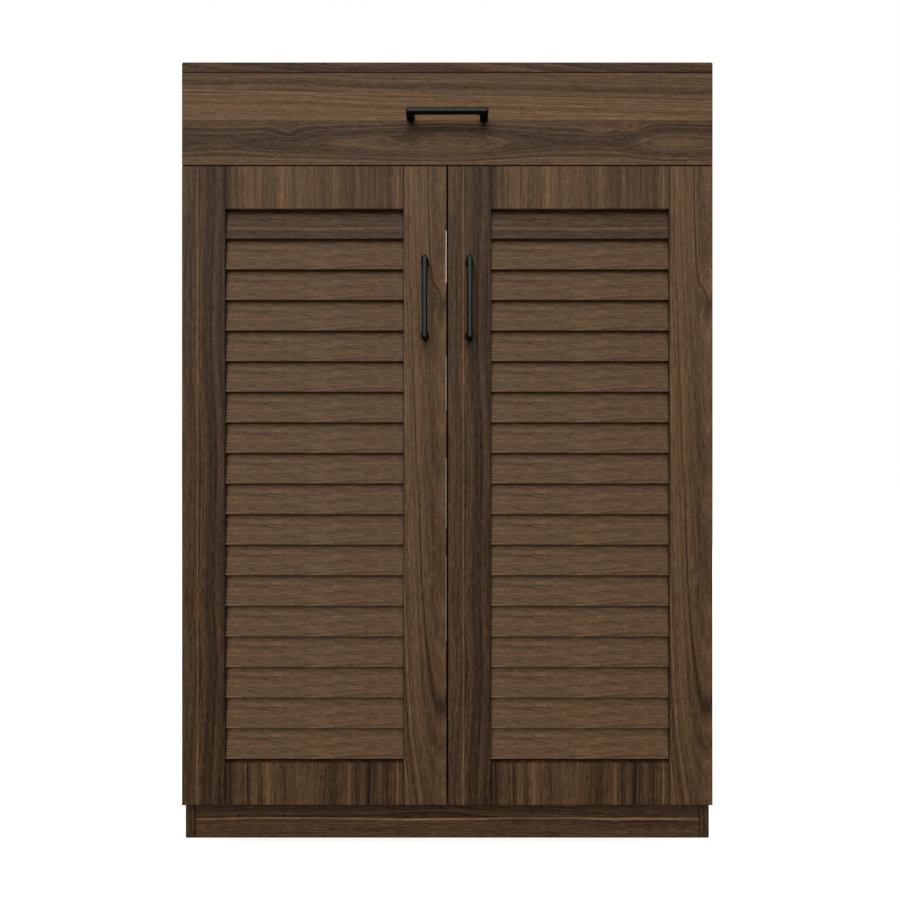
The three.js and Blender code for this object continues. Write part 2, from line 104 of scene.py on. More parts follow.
def linear(red, green, blue):
    """A display colour, 0 to 255, as linear light with full alpha."""
    return tuple((c / 255) ** 2.2 for c in (red, green, blue)) + (1.0,)


WALNUT_TONES = [
    (0.0, linear(33, 23, 15)),
    (0.25, linear(58, 43, 30)),
    (0.5, linear(83, 64, 46)),
    (0.75, linear(107, 83, 58)),
    (1.0, linear(138, 108, 75)),
]


# ---------- node trees ----------


class Graph:
    """Short calls that build the node tree of one material."""

    def __init__(self, name):
        self.material = bpy.data.materials.new(name)
        self.material.use_nodes = True
        self.tree = self.material.node_tree
        self.tree.nodes.clear()

    def node(self, kind, inputs=None, **settings):
        made = self.tree.nodes.new(kind)
        for key, value in settings.items():
            setattr(made, key, value)
        for key, value in (inputs or {}).items():
            self.feed(made.inputs[key], value)
        return made

    def feed(self, socket, value):
        if isinstance(value, bpy.types.NodeSocket):
            self.tree.links.new(value, socket)
        else:
            socket.default_value = value

    def maths(self, operation, a, b=0.0, clamp=False):
        inputs = {0: a, 1: b}
        return self.node("ShaderNodeMath", inputs, operation=operation, use_clamp=clamp).outputs[0]

    def mul(self, a, b):
        return self.maths("MULTIPLY", a, b)

    def add(self, a, b):
        return self.maths("ADD", a, b)

    def about(self, value, spread):
        """A 0 to 1 value as a swing of that spread either side of zero."""
        return self.mul(self.maths("SUBTRACT", value, 0.5), 2 * spread)

    def vector(self, x, y, z):
        return self.node("ShaderNodeCombineXYZ", {0: x, 1: y, 2: z}).outputs[0]

    def noise(self, vector, detail=2.0, roughness=0.5, scale=1.0):
        inputs = {"Vector": vector, "Scale": scale, "Detail": detail, "Roughness": roughness}
        return self.node("ShaderNodeTexNoise", inputs).outputs["Fac"]

    def line_noise(self, value, detail=2.0, roughness=0.5):
        inputs = {"W": value, "Scale": 1.0, "Detail": detail, "Roughness": roughness}
        made = self.node("ShaderNodeTexNoise", inputs, noise_dimensions="1D")
        return made.outputs["Fac"]

    def fibre(self, along, across, below, coarse, fine, detail):
        """Noise drawn out along the board: coarse per metre along, fine per metre across."""
        spot = self.vector(
            self.mul(along, coarse),
            self.mul(across, fine),
            self.mul(below, fine),
        )
        return self.noise(spot, detail=detail, roughness=0.6)

    def stepped(self, value, pairs):
        """The number of the last (start, number) pair that the value has reached."""
        total = pairs[0][1]
        for (_, before), (start, number) in zip(pairs, pairs[1:]):
            reached = self.maths("GREATER_THAN", value, start)
            total = self.add(total, self.mul(reached, number - before))
        return total

    def ramp(self, value, stops):
        made = self.node("ShaderNodeValToRGB", {0: value})
        ramp = made.color_ramp
        while len(ramp.elements) < len(stops):
            ramp.elements.new(0.5)
        for element, (place, colour) in zip(ramp.elements, stops):
            element.position = place
            element.color = colour
        return made.outputs["Color"]

    def level_ramp(self, value, stops):
        """A ramp of plain numbers instead of colours."""
        colours = [(place, (level, level, level, 1.0)) for place, level in stops]
        return self.node("ShaderNodeRGBToBW", {0: self.ramp(value, colours)}).outputs[0]

    def mix(self, share, a, b, blend="MIX"):
        made = self.node("ShaderNodeMix", data_type="RGBA", blend_type=blend)
        self.feed(made.inputs[0], share)
        self.feed(made.inputs[6], a)
        self.feed(made.inputs[7], b)
        return made.outputs[2]

    def attribute(self, name):
        return self.node("ShaderNodeAttribute", attribute_name=name)

    def finish(self, colour, roughness, height=None, depth=0.0001, metallic=0.0, specular=0.5):
        inputs = {
            "Base Color": colour,
            "Roughness": roughness,
            "Metallic": metallic,
            "Specular IOR Level": specular,
        }
        if height is not None:
            bump = self.node("ShaderNodeBump", {"Height": height, "Distance": depth})
            inputs["Normal"] = bump.outputs[0]
        shader = self.node("ShaderNodeBsdfPrincipled", inputs)
        self.node("ShaderNodeOutputMaterial", {"Surface": shader.outputs[0]})
        return self.material


# ---------- wood ----------

GAP_LIGHT_WIDTH = 1.5  # mm of the painted strip of gap light that shows in front
GAP_LIGHT_DEPTH = 1.2  # mm of the painted strip of gap light that shows on the board's edge


def walnut(
    name,
    bands,
    planks,
    width,
    seed,
    length=1.0,
    fade=(0.0, 0.0),
    arch=20,
    drift=4,
    taper=0.0,
    figure=1.0,
    knots=(),
    gap_light=(),
    tint=(255, 255, 255),
):
    """Walnut laminate.

    bands are (mm across, tone) pairs. planks are (mm across where it starts, mm across and
    mm below of the log's heart, slant of the fibres). fade is added to the tone at the two ends
    of the board. arch is how far the heart rises and sinks, and taper how fast it sinks. figure
    is the strength of the rings. knots are (mm along, mm across, mm of radius, mm of rise, tone).
    The last list gives the (mm along from, to, strength) of places where the far front corner gets a
    painted pale strip of light seen through the door gap.
    """
    g = Graph(name)
    place = g.node("ShaderNodeSeparateXYZ", {0: g.attribute("grain").outputs["Vector"]})
    along, across, below = place.outputs
    wander = g.noise(g.vector(g.mul(along, 3.1), seed, 0.0), detail=2)
    slant = g.stepped(across, [(plank[0] * MM, plank[3]) for plank in planks])
    moved = g.add(g.add(across, g.mul(along, slant)), g.about(wander, drift * MM))

    # Growth rings: distance from a log's heart that rises and sinks along the board.
    plank = g.stepped(across, [(plank[0] * MM, number) for number, plank in enumerate(planks)])
    heart_across = g.stepped(across, [(plank[0] * MM, plank[1] * MM) for plank in planks])
    heart_below = g.stepped(across, [(plank[0] * MM, plank[2] * MM) for plank in planks])
    sway_spot = g.vector(g.mul(along, 4.5), g.add(seed + 7.3, g.mul(plank, 3.7)), 0.0)
    sway = g.about(g.noise(sway_spot, detail=1), arch * MM)
    sunk = g.add(g.add(g.add(below, heart_below), g.mul(along, taper)), sway)
    off = g.maths("SUBTRACT", moved, heart_across)
    ring = g.maths("SQRT", g.add(g.mul(off, off), g.mul(sunk, sunk)))
    knot_tone = 0.0
    for knot_along, knot_across, radius, rise, shade in knots:
        far_along = g.mul(g.maths("SUBTRACT", along, knot_along * MM), 0.4 / (radius * MM))
        far_across = g.mul(g.maths("SUBTRACT", moved, knot_across * MM), 1 / (radius * MM))
        far = g.add(g.mul(far_along, far_along), g.mul(far_across, far_across))
        swell = g.maths("EXPONENT", g.mul(far, -1.0))
        ring = g.add(ring, g.mul(swell, rise * MM))
        knot_tone = g.add(knot_tone, g.mul(swell, shade))
    ring_seed = g.add(seed, g.mul(plank, 5.3))
    wide_rings = g.line_noise(g.add(g.mul(ring, 110.0), ring_seed), detail=3, roughness=0.6)
    fine_rings = g.line_noise(g.add(g.mul(ring, 480.0), ring_seed), detail=2)
    growth = g.line_noise(g.add(g.mul(ring, 190.0), g.add(ring_seed, 9.1)), detail=1)
    pale_lines = g.maths("MULTIPLY", g.maths("SUBTRACT", growth, 0.6, clamp=True), 7.0, clamp=True)
    dark_lines = g.maths("MULTIPLY", g.maths("SUBTRACT", 0.4, growth, clamp=True), 7.0, clamp=True)

    # Fibres: ever shorter and finer streaks along the board, and open pores.
    streaks = g.fibre(along, moved, below, 10.0, 300.0, detail=3)
    flecks = g.fibre(along, moved, below, 45.0, 620.0, detail=2)
    hairs = g.fibre(along, moved, below, 90.0, 1200.0, detail=2)
    dashes = g.fibre(along, moved, below, 130.0, 900.0, detail=1)
    pores = g.maths("MULTIPLY", g.maths("SUBTRACT", dashes, 0.6, clamp=True), 7.0, clamp=True)
    glints = g.maths("MULTIPLY", g.maths("SUBTRACT", 0.4, dashes, clamp=True), 7.0, clamp=True)

    stops = [(mm / width, tone) for mm, tone in bands]
    tone = g.level_ramp(g.maths("DIVIDE", moved, width * MM), stops)
    tone = g.add(g.add(tone, knot_tone), g.about(wide_rings, 0.28 * figure))
    tone = g.add(tone, g.about(fine_rings, 0.24 * figure))
    tone = g.add(tone, g.mul(pale_lines, 0.13 * figure))
    tone = g.maths("SUBTRACT", tone, g.mul(dark_lines, 0.16 * figure))
    tone = g.add(tone, g.about(streaks, 0.22))
    tone = g.add(tone, g.about(flecks, 0.3))
    tone = g.add(tone, g.about(hairs, 0.24))
    tone = g.maths("SUBTRACT", tone, g.mul(pores, 0.2))
    tone = g.add(tone, g.mul(glints, 0.14))
    way = g.maths("DIVIDE", along, length)
    tone = g.add(tone, g.add(fade[0], g.mul(way, fade[1] - fade[0])))
    # painted shade: darker along the edges of the board and at the slats' ends in the stiles
    edge = g.mul(g.attribute("edge").outputs["Fac"], 0.6)
    tone = g.maths("SUBTRACT", tone, edge, clamp=True)
    colour = g.ramp(tone, WALNUT_TONES)

    warm = g.noise(g.vector(g.mul(along, 12.0), g.mul(moved, 170.0), seed), detail=3)
    warm = g.maths("MULTIPLY", g.maths("SUBTRACT", warm, 0.4, clamp=True), 5.0, clamp=True)
    red = g.mix(1.0, colour, linear(255, 243, 236), blend="MULTIPLY")
    olive = g.mix(1.0, colour, linear(250, 253, 240), blend="MULTIPLY")
    colour = g.mix(1.0, g.mix(warm, olive, red), linear(*tint), blend="MULTIPLY")
    # painted light: a pale strip on the far front corner, standing in for light seen through the door
    # gap
    for low, high, strength in gap_light:
        after = g.maths("GREATER_THAN", along, low * MM)
        before = g.maths("LESS_THAN", along, high * MM)
        corner = g.maths("GREATER_THAN", across, (width - GAP_LIGHT_WIDTH) * MM)
        front = g.maths("LESS_THAN", below, GAP_LIGHT_DEPTH * MM)
        painted_light = g.mul(g.mul(after, before), g.mul(corner, front))
        colour = g.mix(g.mul(painted_light, strength), colour, linear(182, 163, 149))

    roughness = g.add(0.5, g.about(hairs, 0.12))
    height = g.add(g.mul(flecks, 0.6), g.mul(g.maths("SUBTRACT", 1.0, pores), 0.8))
    return g.finish(colour, roughness, height, depth=0.00012, specular=0.12)


def raw_hardboard(name):
    """The rough brown back of pressed hardboard, with a crossed screen pattern."""
    g = Graph(name)
    place = g.attribute("grain").outputs["Vector"]
    part = g.node("ShaderNodeSeparateXYZ", {0: place}).outputs
    flecks = g.noise(place, detail=4, roughness=0.7, scale=420.0)
    clouds = g.noise(place, detail=3, scale=9.0)
    lines = g.maths("SINE", g.mul(part[0], 2 * math.pi / (1.6 * MM)))
    rows = g.maths("SINE", g.mul(part[1], 2 * math.pi / (1.6 * MM)))
    screen = g.mul(lines, rows)
    tone = g.add(g.add(g.mul(flecks, 0.7), g.mul(clouds, 0.25)), g.mul(screen, 0.05))
    stops = [(0.25, linear(66, 48, 33)), (0.5, linear(98, 73, 51)), (0.8, linear(128, 98, 70))]
    return g.finish(g.ramp(tone, stops), 0.85, g.add(flecks, g.mul(screen, 0.5)), 0.0002)


# ---------- other materials ----------


def powder_coat(name):
    """Black paint, with the front facet of the bar painted grey as a painted highlight."""
    g = Graph(name)
    place = g.node("ShaderNodeTexCoord").outputs["Object"]
    peel = g.noise(place, detail=2, scale=1900.0)
    clouds = g.noise(place, detail=3, scale=90.0)
    dull = g.ramp(clouds, [(0.3, linear(5, 5, 5)), (0.75, linear(10, 10, 10))])
    # painted highlight: the grey of the lit front facet
    painted_light = g.ramp(clouds, [(0.3, linear(46, 49, 49)), (0.75, linear(58, 62, 62))])
    lit_facet = g.maths("GREATER_THAN", g.attribute("edge").outputs["Fac"], 0.97)
    colour = g.mix(lit_facet, dull, painted_light)
    roughness = g.add(0.45, g.mul(clouds, 0.14))
    return g.finish(colour, roughness, peel, depth=0.00005, specular=0.15)


def matte_black(name):
    """Dull black of the handles' legs and feet, where the paint is thin and dry."""
    g = Graph(name)
    place = g.node("ShaderNodeTexCoord").outputs["Object"]
    grit = g.noise(place, detail=3, scale=1500.0)
    colour = g.ramp(grit, [(0.3, linear(4, 4, 4)), (0.75, linear(10, 9, 9))])
    return g.finish(colour, 0.75, grit, depth=0.00006, specular=0.1)


def plated(name, dark, light, rough, grain=900.0):
    """Plated steel with drawn lines along the part and cloudy stains."""
    g = Graph(name)
    place = g.node("ShaderNodeTexCoord").outputs["Object"]
    part = g.node("ShaderNodeSeparateXYZ", {0: place}).outputs
    drawn = g.noise(g.vector(g.mul(part[0], grain), g.mul(part[1], 14.0), g.mul(part[2], grain)))
    stains = g.noise(place, detail=4, scale=75.0)
    colour = g.ramp(stains, [(0.3, dark), (0.7, light)])
    colour = g.mix(g.mul(drawn, 0.3), colour, dark)
    roughness = g.add(rough, g.about(g.add(g.mul(drawn, 0.6), g.mul(stains, 0.4)), 0.12))
    return g.finish(colour, roughness, drawn, depth=0.00003, metallic=1.0)


def rubber(name):
    g = Graph(name)
    place = g.node("ShaderNodeTexCoord").outputs["Object"]
    grit = g.noise(place, detail=3, scale=1400.0)
    colour = g.ramp(grit, [(0.3, linear(30, 30, 31)), (0.7, linear(52, 51, 50))])
    return g.finish(colour, 0.8, grit, depth=0.0001)


def studio_floor(name):
    """Pale floor that the camera sees nearly white, and that throws little light upwards."""
    g = Graph(name)
    place = g.node("ShaderNodeTexCoord").outputs["Object"]
    mottle = g.noise(place, detail=2, scale=3.0)
    pale = g.ramp(mottle, [(0.3, (0.79, 0.79, 0.785, 1.0)), (0.7, (0.82, 0.82, 0.815, 1.0))])
    seen = g.node("ShaderNodeBsdfDiffuse", {"Color": pale}).outputs[0]
    glow = g.node("ShaderNodeEmission", {"Strength": 0.5}).outputs[0]
    lit = g.node("ShaderNodeAddShader", {0: seen, 1: glow}).outputs[0]
    bounce = g.node("ShaderNodeBsdfDiffuse", {"Color": (0.35, 0.35, 0.35, 1.0)}).outputs[0]
    direct = g.node("ShaderNodeLightPath").outputs["Is Camera Ray"]
    shader = g.node("ShaderNodeMixShader", {0: direct, 1: bounce, 2: lit})
    g.node("ShaderNodeOutputMaterial", {"Surface": shader.outputs[0]})
    return g.material


# ---------- mesh helpers ----------


def new_object(name, bm, material, body, replaces=(), smooth=False):
    """Turns a bmesh into a piece that rides on a body and stands for CAD nodes."""
    bmesh.ops.recalc_face_normals(bm, faces=bm.faces)
    mesh = bpy.data.meshes.new(name)
    for face in bm.faces:
        face.smooth = smooth
    bm.to_mesh(mesh)
    bm.free()
    mesh.materials.append(material)
    piece = bpy.data.objects.new(name, mesh)
    bpy.context.scene.collection.objects.link(piece)
    if smooth:
        mesh.set_sharp_from_angle(angle=math.radians(40))
    if replaces:
        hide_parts(*replaces)
    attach(piece, body)
    return piece


def write_point_values(mesh, name, kind, values):
    layer = mesh.attributes.new(name, kind, "POINT")
    field = "vector" if kind == "FLOAT_VECTOR" else "value"
    flat = [part for value in values for part in value] if field == "vector" else values
    layer.data.foreach_set(field, flat)


def lay_grain(mesh, low, high, along, wide):
    """Stores how far each point is along, across and through its board, and which points lie on an
    edge, where the wood gets painted shade.
    """
    rim = 0.6 * EDGE_SHADE_BAND
    order = [AXES[along], AXES[wide]]
    order.append(3 - sum(order))
    grain = []
    edge = []
    for vertex in mesh.vertices:
        grain.append([vertex.co[axis] - low[axis] for axis in order])
        near = [min(vertex.co[i] - low[i], high[i] - vertex.co[i]) < rim for i in range(3)]
        edge.append(1.0 if sum(near) > 1 else 0.0)
    write_point_values(mesh, "grain", "FLOAT_VECTOR", grain)
    write_point_values(mesh, "edge", "FLOAT", edge)


def rounded_box(low, high, radius, rim, crown=0.0):
    """A box with rounded edges, a loop just inside each edge and maybe a rounder top at its sides."""
    size = [high[i] - low[i] for i in range(3)]
    centre = [(high[i] + low[i]) / 2 for i in range(3)]
    bm = bmesh.new()
    place = Matrix.Translation(centre) @ Matrix.Diagonal((*size, 1.0))
    bmesh.ops.create_cube(bm, size=1.0, matrix=place)
    if crown:
        shoulders = []
        for edge in bm.edges:
            a, b = (vertex.co for vertex in edge.verts)
            if abs(a.y - b.y) > radius and min(a.z, b.z) > centre[2]:
                shoulders.append(edge)
        bmesh.ops.bevel(
            bm,
            geom=shoulders,
            offset=crown,
            offset_type="OFFSET",
            segments=4,
            profile=0.5,
            affect="EDGES",
        )
    sharp = [edge for edge in bm.edges if edge.calc_face_angle() > math.radians(60)]
    bmesh.ops.bevel(
        bm,
        geom=sharp,
        offset=radius,
        offset_type="OFFSET",
        segments=3,
        profile=0.5,
        affect="EDGES",
    )
    for axis in range(3):
        if size[axis] < 3 * rim:
            continue
        normal = [1.0 if i == axis else 0.0 for i in range(3)]
        for at in (low[axis] + rim, high[axis] - rim):
            point = [at if i == axis else centre[i] for i in range(3)]
            geometry = bm.verts[:] + bm.edges[:] + bm.faces[:]
            bmesh.ops.bisect_plane(bm, geom=geometry, plane_co=point, plane_no=normal)
    return bm


def drill(piece, holes):
    """Cuts round blind holes, each (centre, axis, radius, depth), from a board."""
    bm = bmesh.new()
    for centre, axis, radius, depth in holes:
        turn = Vector((0, 0, 1)).rotation_difference(Vector(axis)).to_matrix().to_4x4()
        bmesh.ops.create_cone(
            bm,
            cap_ends=True,
            segments=32 if radius > 5 * MM else 16,
            radius1=radius,
            radius2=radius,
            depth=2 * depth,
            matrix=Matrix.Translation(centre) @ turn,
        )
    mesh = bpy.data.meshes.new("drill")
    bm.to_mesh(mesh)
    bm.free()
    cutter = bpy.data.objects.new("drill", mesh)
    bpy.context.scene.collection.objects.link(cutter)
    cut = piece.modifiers.new("holes", "BOOLEAN")
    cut.operation = "DIFFERENCE"
    cut.solver = "EXACT"
    cut.object = cutter
    shaped = piece.evaluated_get(bpy.context.evaluated_depsgraph_get())
    drilled = bpy.data.meshes.new_from_object(shaped)
    piece.modifiers.remove(cut)
    piece.data = drilled
    bpy.data.objects.remove(cutter)


def board(node, along, wide, material, body, holes=(), radius=EDGE_RADIUS, crown=0.0, box=None):
    """A rounded board in the place of a CAD node, in the node's own box or a given one."""
    low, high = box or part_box(node)
    bm = rounded_box(low, high, radius, EDGE_SHADE_BAND, crown)
    piece = new_object(f"{node}_board", bm, material, body, [node])
    if holes:
        drill(piece, holes)
    for name in ("grain", "edge"):
        if name in piece.data.attributes:
            piece.data.attributes.remove(piece.data.attributes[name])
    lay_grain(piece.data, low, high, along, wide)
    return piece


def loft(bm, rings):
    """Skins a row of closed rings of points, and closes both ends."""
    rows = [[bm.verts.new(point) for point in ring] for ring in rings]
    count = len(rows[0])
    for first, second in zip(rows, rows[1:]):
        for i in range(count):
            j = (i + 1) % count
            bm.faces.new((first[i], first[j], second[j], second[i]))
    bm.faces.new(rows[0])
    bm.faces.new(rows[-1])


def turned(bm, profile, place, segments=24):
    """A solid of revolution about the local Z axis; profile is (radius, height) pairs."""
    rings = []
    for radius, height in profile:
        ring = []
        for i in range(segments):
            angle = 2 * math.pi * i / segments
            point = Vector((radius * math.cos(angle), radius * math.sin(angle), height))
            ring.append(place @ point)
        rings.append(ring)
    loft(bm, rings)


def facing(centre, direction):
    """A placement whose local Z points in that direction."""
    turn = Vector((0, 0, 1)).rotation_difference(Vector(direction)).to_matrix().to_4x4()
    return Matrix.Translation(centre) @ turn


# ---------- materials used ----------

LEFT_STILE_BANDS = [
    (0, 0.53),
    (19.2, 0.55),
    (20.1, 0.84),
    (20.9, 0.8),
    (21.8, 0.44),
    (36, 0.46),
    (46, 0.39),
    (57, 0.45),
]
RIGHT_STILE_BANDS = [(0, 0.56), (18, 0.57), (26, 0.52), (34, 0.46), (40, 0.44), (50, 0.52), (57, 0.58)]
RIGHT_STILE_PLANKS = [(0, 50, 54, 0)]
RIGHT_STILE_KNOTS = [(701, 51, 3.5, 6, 0.1), (669, 43, 5, 6, -0.16), (300, 40, 6, 4, -0.06)]
# stretches of the right stile's far front corner painted with the pale light seen through the door gap
RIGHT_STILE_GAP_LIGHT = [(689, 758, 0.95), (521, 592, 0.35), (365, 458, 0.3), (217, 329, 0.22)]
RAIL_BANDS = [
    (0, 0.34),
    (12, 0.47),
    (40, 0.58),
    (110, 0.57),
    (128, 0.47),
    (180, 0.5),
    (185, 0.4),
    (201, 0.44),
    (226, 0.48),
    (227.5, 0.85),
    (229.5, 0.5),
    (235, 0.44),
]

DRAWER_BANDS = [
    (0, 0.5),
    (8, 0.54),
    (25, 0.46),
    (59, 0.4),
    (60.5, 0.84),
    (65, 0.68),
    (84, 0.7),
    (97, 0.58),
    (99.5, 0.94),
    (101.5, 0.52),
    (112, 0.46),
    (122, 0.54),
    (138, 0.5),
]

stile_left = walnut(
    "walnut_left_stile",
    LEFT_STILE_BANDS,
    planks=[(0, -60, 60, 0)],
    width=57,
    length=0.843,
    seed=2.0,
    fade=(-0.17, -0.1),
    drift=2.5,
    tint=(250, 251, 255),
    figure=0.7,
)


def right_stile(name, gap_light=()):
    return walnut(
        name,
        RIGHT_STILE_BANDS,
        planks=RIGHT_STILE_PLANKS,
        width=57,
        length=0.843,
        seed=5.0,
        fade=(-0.07, 0.08),
        arch=7,
        taper=-0.055,
        knots=RIGHT_STILE_KNOTS,
        gap_light=gap_light,
        tint=(250, 251, 255),
    )


stile_right = right_stile("walnut_right_stile")
# the left door's right stile, with the painted strip of gap light
stile_right_gap_light = right_stile("walnut_right_stile_gap_light", RIGHT_STILE_GAP_LIGHT)
top_rail_wood = walnut(
    "walnut_top_rail",
    RAIL_BANDS,
    planks=[(0, 110, 90, 0)],
    width=235,
    seed=11.0,
    arch=10,
)
low_rail_wood = walnut(
    "walnut_bottom_rail",
    RAIL_BANDS,
    planks=[(0, 110, 90, 0)],
    width=235,
    seed=13.0,
    fade=(-0.15, -0.15),
    arch=10,
)
# the tone darkens from the lower edge upwards, a painted shade from the slat above
slat_wood = walnut(
    "walnut_slat",
    [(0, 0.64), (4, 0.55), (20, 0.54), (34, 0.53), (48, 0.48)],
    planks=[(0, -30, 40, 0)],
    width=50,
    seed=17.0,
    arch=14,
    figure=0.5,
)
# the highest slat, painted darker as the top rail's shadow, with its own grain
top_slat_shaded_wood = walnut(
    "walnut_top_slat_shaded",
    [(0, 0.36), (8, 0.3), (12, 0.34), (14, 0.66), (16, 0.4), (40, 0.36)],
    planks=[(0, -40, 60, 0)],
    width=50,
    seed=23.0,
    arch=10,
    figure=0.5,
)
drawer_wood = walnut(
    "walnut_drawer_front",
    DRAWER_BANDS,
    planks=[(0, 30, 14, 0), (60, 300, 60, 0), (65, 300, 60, 0.022)],
    width=138,
    seed=31.0,
    arch=20,
    drift=1,
    knots=[(549, 47, 6, 8, 0.1), (592, 50, 6, 9, 0.08), (296, 34, 8, 6, -0.06), (140, 42, 9, 6, -0.08)],
)
# the upper half is darker, a painted shadow of the doors above; the pale line is the print
kick_wood = walnut(
    "walnut_kick_board",
    [(0, 0.38), (20, 0.36), (23, 0.4), (24, 0.85), (25.6, 0.8), (26.6, 0.28), (50, 0.3)],
    planks=[(0, -60, 60, 0)],
    width=50,
    seed=37.0,
    drift=9,
    figure=0.8,
)
top_wood = walnut(
    "walnut_top_board",
    [(0, 0.42), (120, 0.44), (123, 0.52), (240, 0.4), (350, 0.46)],
    planks=[(0, 60, 14, 0), (121, 200, 60, 0), (236, 290, 12, 0)],
    width=350,
    seed=41.0,
    arch=18,
    taper=0.07,
    tint=(255, 240, 226),
)
side_wood = walnut(
    "walnut_side",
    [(0, 0.3), (6, 0.34), (90, 0.46), (93, 0.54), (190, 0.42), (260, 0.5), (332, 0.4)],
    planks=[(0, 40, 14, 0), (91, 190, 60, 0), (205, 270, 12, 0)],
    width=332,
    seed=43.0,
    arch=18,
    taper=0.06,
    tint=(255, 244, 232),
)
inner_wood = walnut(
    "walnut_inside",
    [(0, 0.46), (100, 0.5), (104, 0.42), (230, 0.48), (330, 0.44)],
    planks=[(0, 50, 22, 0), (102, 170, 60, 0), (228, 290, 20, 0)],
    width=330,
    seed=47.0,
    arch=30,
)
back_print = walnut(
    "walnut_back_print",
    [(0, 0.4), (200, 0.46), (204, 0.38), (450, 0.44), (682, 0.4)],
    planks=[(0, 90, 30, 0), (202, 330, 60, 0), (452, 560, 25, 0)],
    width=682,
    seed=53.0,
    arch=30,
)
hardboard = raw_hardboard("raw_hardboard")
black = powder_coat("black_powder_coat")
black_legs = matte_black("black_legs")
zinc = plated("zinc_plated_steel", linear(150, 152, 156), linear(196, 198, 200), 0.36)
nickel = plated("nickel_plated", linear(170, 166, 158), linear(214, 210, 202), 0.24, grain=500.0)
pad_rubber = rubber("soft_pad_rubber")


# ---------- carcass ----------


def shelf_holes(side):
    """Rows of holes around each shelf pin, on the inner face of one side."""
    holes = []
    for level in ("lower", "upper"):
        for end in ("front", "back"):
            low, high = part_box(f"{level}_shelf_pin_{side}_{end}")
            middle = (low + high) / 2
            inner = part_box(f"{side}_side_panel")[1 if side == "left" else 0].x
            for step in range(-HOLES_EACH_WAY, HOLES_EACH_WAY + 1):
                centre = Vector((inner, middle.y, middle.z + step * HOLE_PITCH))
                holes.append((centre, (1, 0, 0), HOLE_RADIUS, HOLE_DEPTH))
    return holes


def build_carcass():
    for side in ("left", "right"):
        holes = shelf_holes(side)
        board(f"{side}_side_panel", "z", "y", side_wood, "cabinet", holes)
    board("top_panel", "x", "y", top_wood, "cabinet", crown=2 * MM)
    board("kick_board", "x", "z", kick_wood, "cabinet")
    board("rear_plinth_board", "x", "z", kick_wood, "cabinet")
    for node in ("bottom_panel", "divider_panel", "lower_shelf", "middle_shelf", "upper_shelf"):
        board(node, "x", "y", inner_wood, "cabinet")


def build_back():
    """Thin panel, printed inside and rough outside, nailed to the boards it covers."""
    panel = board("back_panel", "z", "x", back_print, "cabinet", radius=THIN_EDGE_RADIUS)
    panel.data.materials.append(hardboard)
    for face in panel.data.polygons:
        if face.normal.y > 0.5:
            face.material_index = 1
    low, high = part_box("back_panel")
    bm = bmesh.new()
    head = [
        (0.2 * MM, -0.5 * MM),
        (2.2 * MM, -0.5 * MM),
        (2.4 * MM, 0.3 * MM),
        (2.0 * MM, 0.6 * MM),
        (0.2 * MM, 0.7 * MM),
    ]
    first = low.x + NAIL_INSET
    step = (high.x - NAIL_INSET - first) / (NAILS - 1)
    for node in ("bottom_panel", "middle_shelf", "divider_panel"):
        row_low, row_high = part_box(node)
        for i in range(NAILS):
            spot = (first + i * step, high.y, (row_low.z + row_high.z) / 2)
            turned(bm, head, facing(spot, (0, 1, 0)), segments=12)
    new_object("back_panel_nails", bm, zinc, "cabinet", smooth=True)


# ---------- screws ----------


def screw(name, spot, direction, radius, body, material, rise=0.5):
    """A pan head with a cross recess, standing on a face."""
    place = facing(spot, direction)
    bm = bmesh.new()
    segments = 16
    top = radius * rise
    star = [0.52 if i % 4 == 0 else 0.17 for i in range(segments)]

    def ring(radii, height):
        points = []
        for i, r in enumerate(radii):
            angle = 2 * math.pi * i / segments
            points.append(place @ Vector((r * math.cos(angle), r * math.sin(angle), height)))
        return points

    flat = [radius] * segments
    rings = [
        ring(flat, -0.2 * MM),
        ring(flat, top * 0.35),
        ring([radius * 0.9] * segments, top * 0.75),
        ring([radius * 0.66] * segments, top),
        ring([radius * s for s in star], top),
        ring([radius * s * 0.75 for s in star], top * 0.25),
    ]
    loft(bm, rings)
    return new_object(name, bm, material, body, smooth=True)


# ---------- handles ----------


def bridge_outline(inset, reach):
    """Closed outline of a bridge handle seen from its side, drawn in by inset."""
    outer = HANDLE_HOLES / 2 + POST_RADIUS - inset
    inner = HANDLE_HOLES / 2 - POST_RADIUS + inset
    top = reach - inset
    under = reach - BAR_DEPTH + inset
    shoulder = 2.5 * MM - inset
    fillet = 6 * MM + inset
    points = [(-outer, 0.0), (-inner, 0.0)]

    def arc(cx, cy, radius, start, end):
        for i in range(9):
            angle = math.radians(start + (end - start) * i / 8)
            points.append((cx + radius * math.cos(angle), cy + radius * math.sin(angle)))

    arc(-inner + fillet, under - fillet, fillet, 180, 90)
    arc(inner - fillet, under - fillet, fillet, 90, 0)
    points.extend([(inner, 0.0), (outer, 0.0)])
    arc(outer - shoulder, top - shoulder, shoulder, 0, 90)
    arc(-outer + shoulder, top - shoulder, shoulder, 90, 180)
    return points


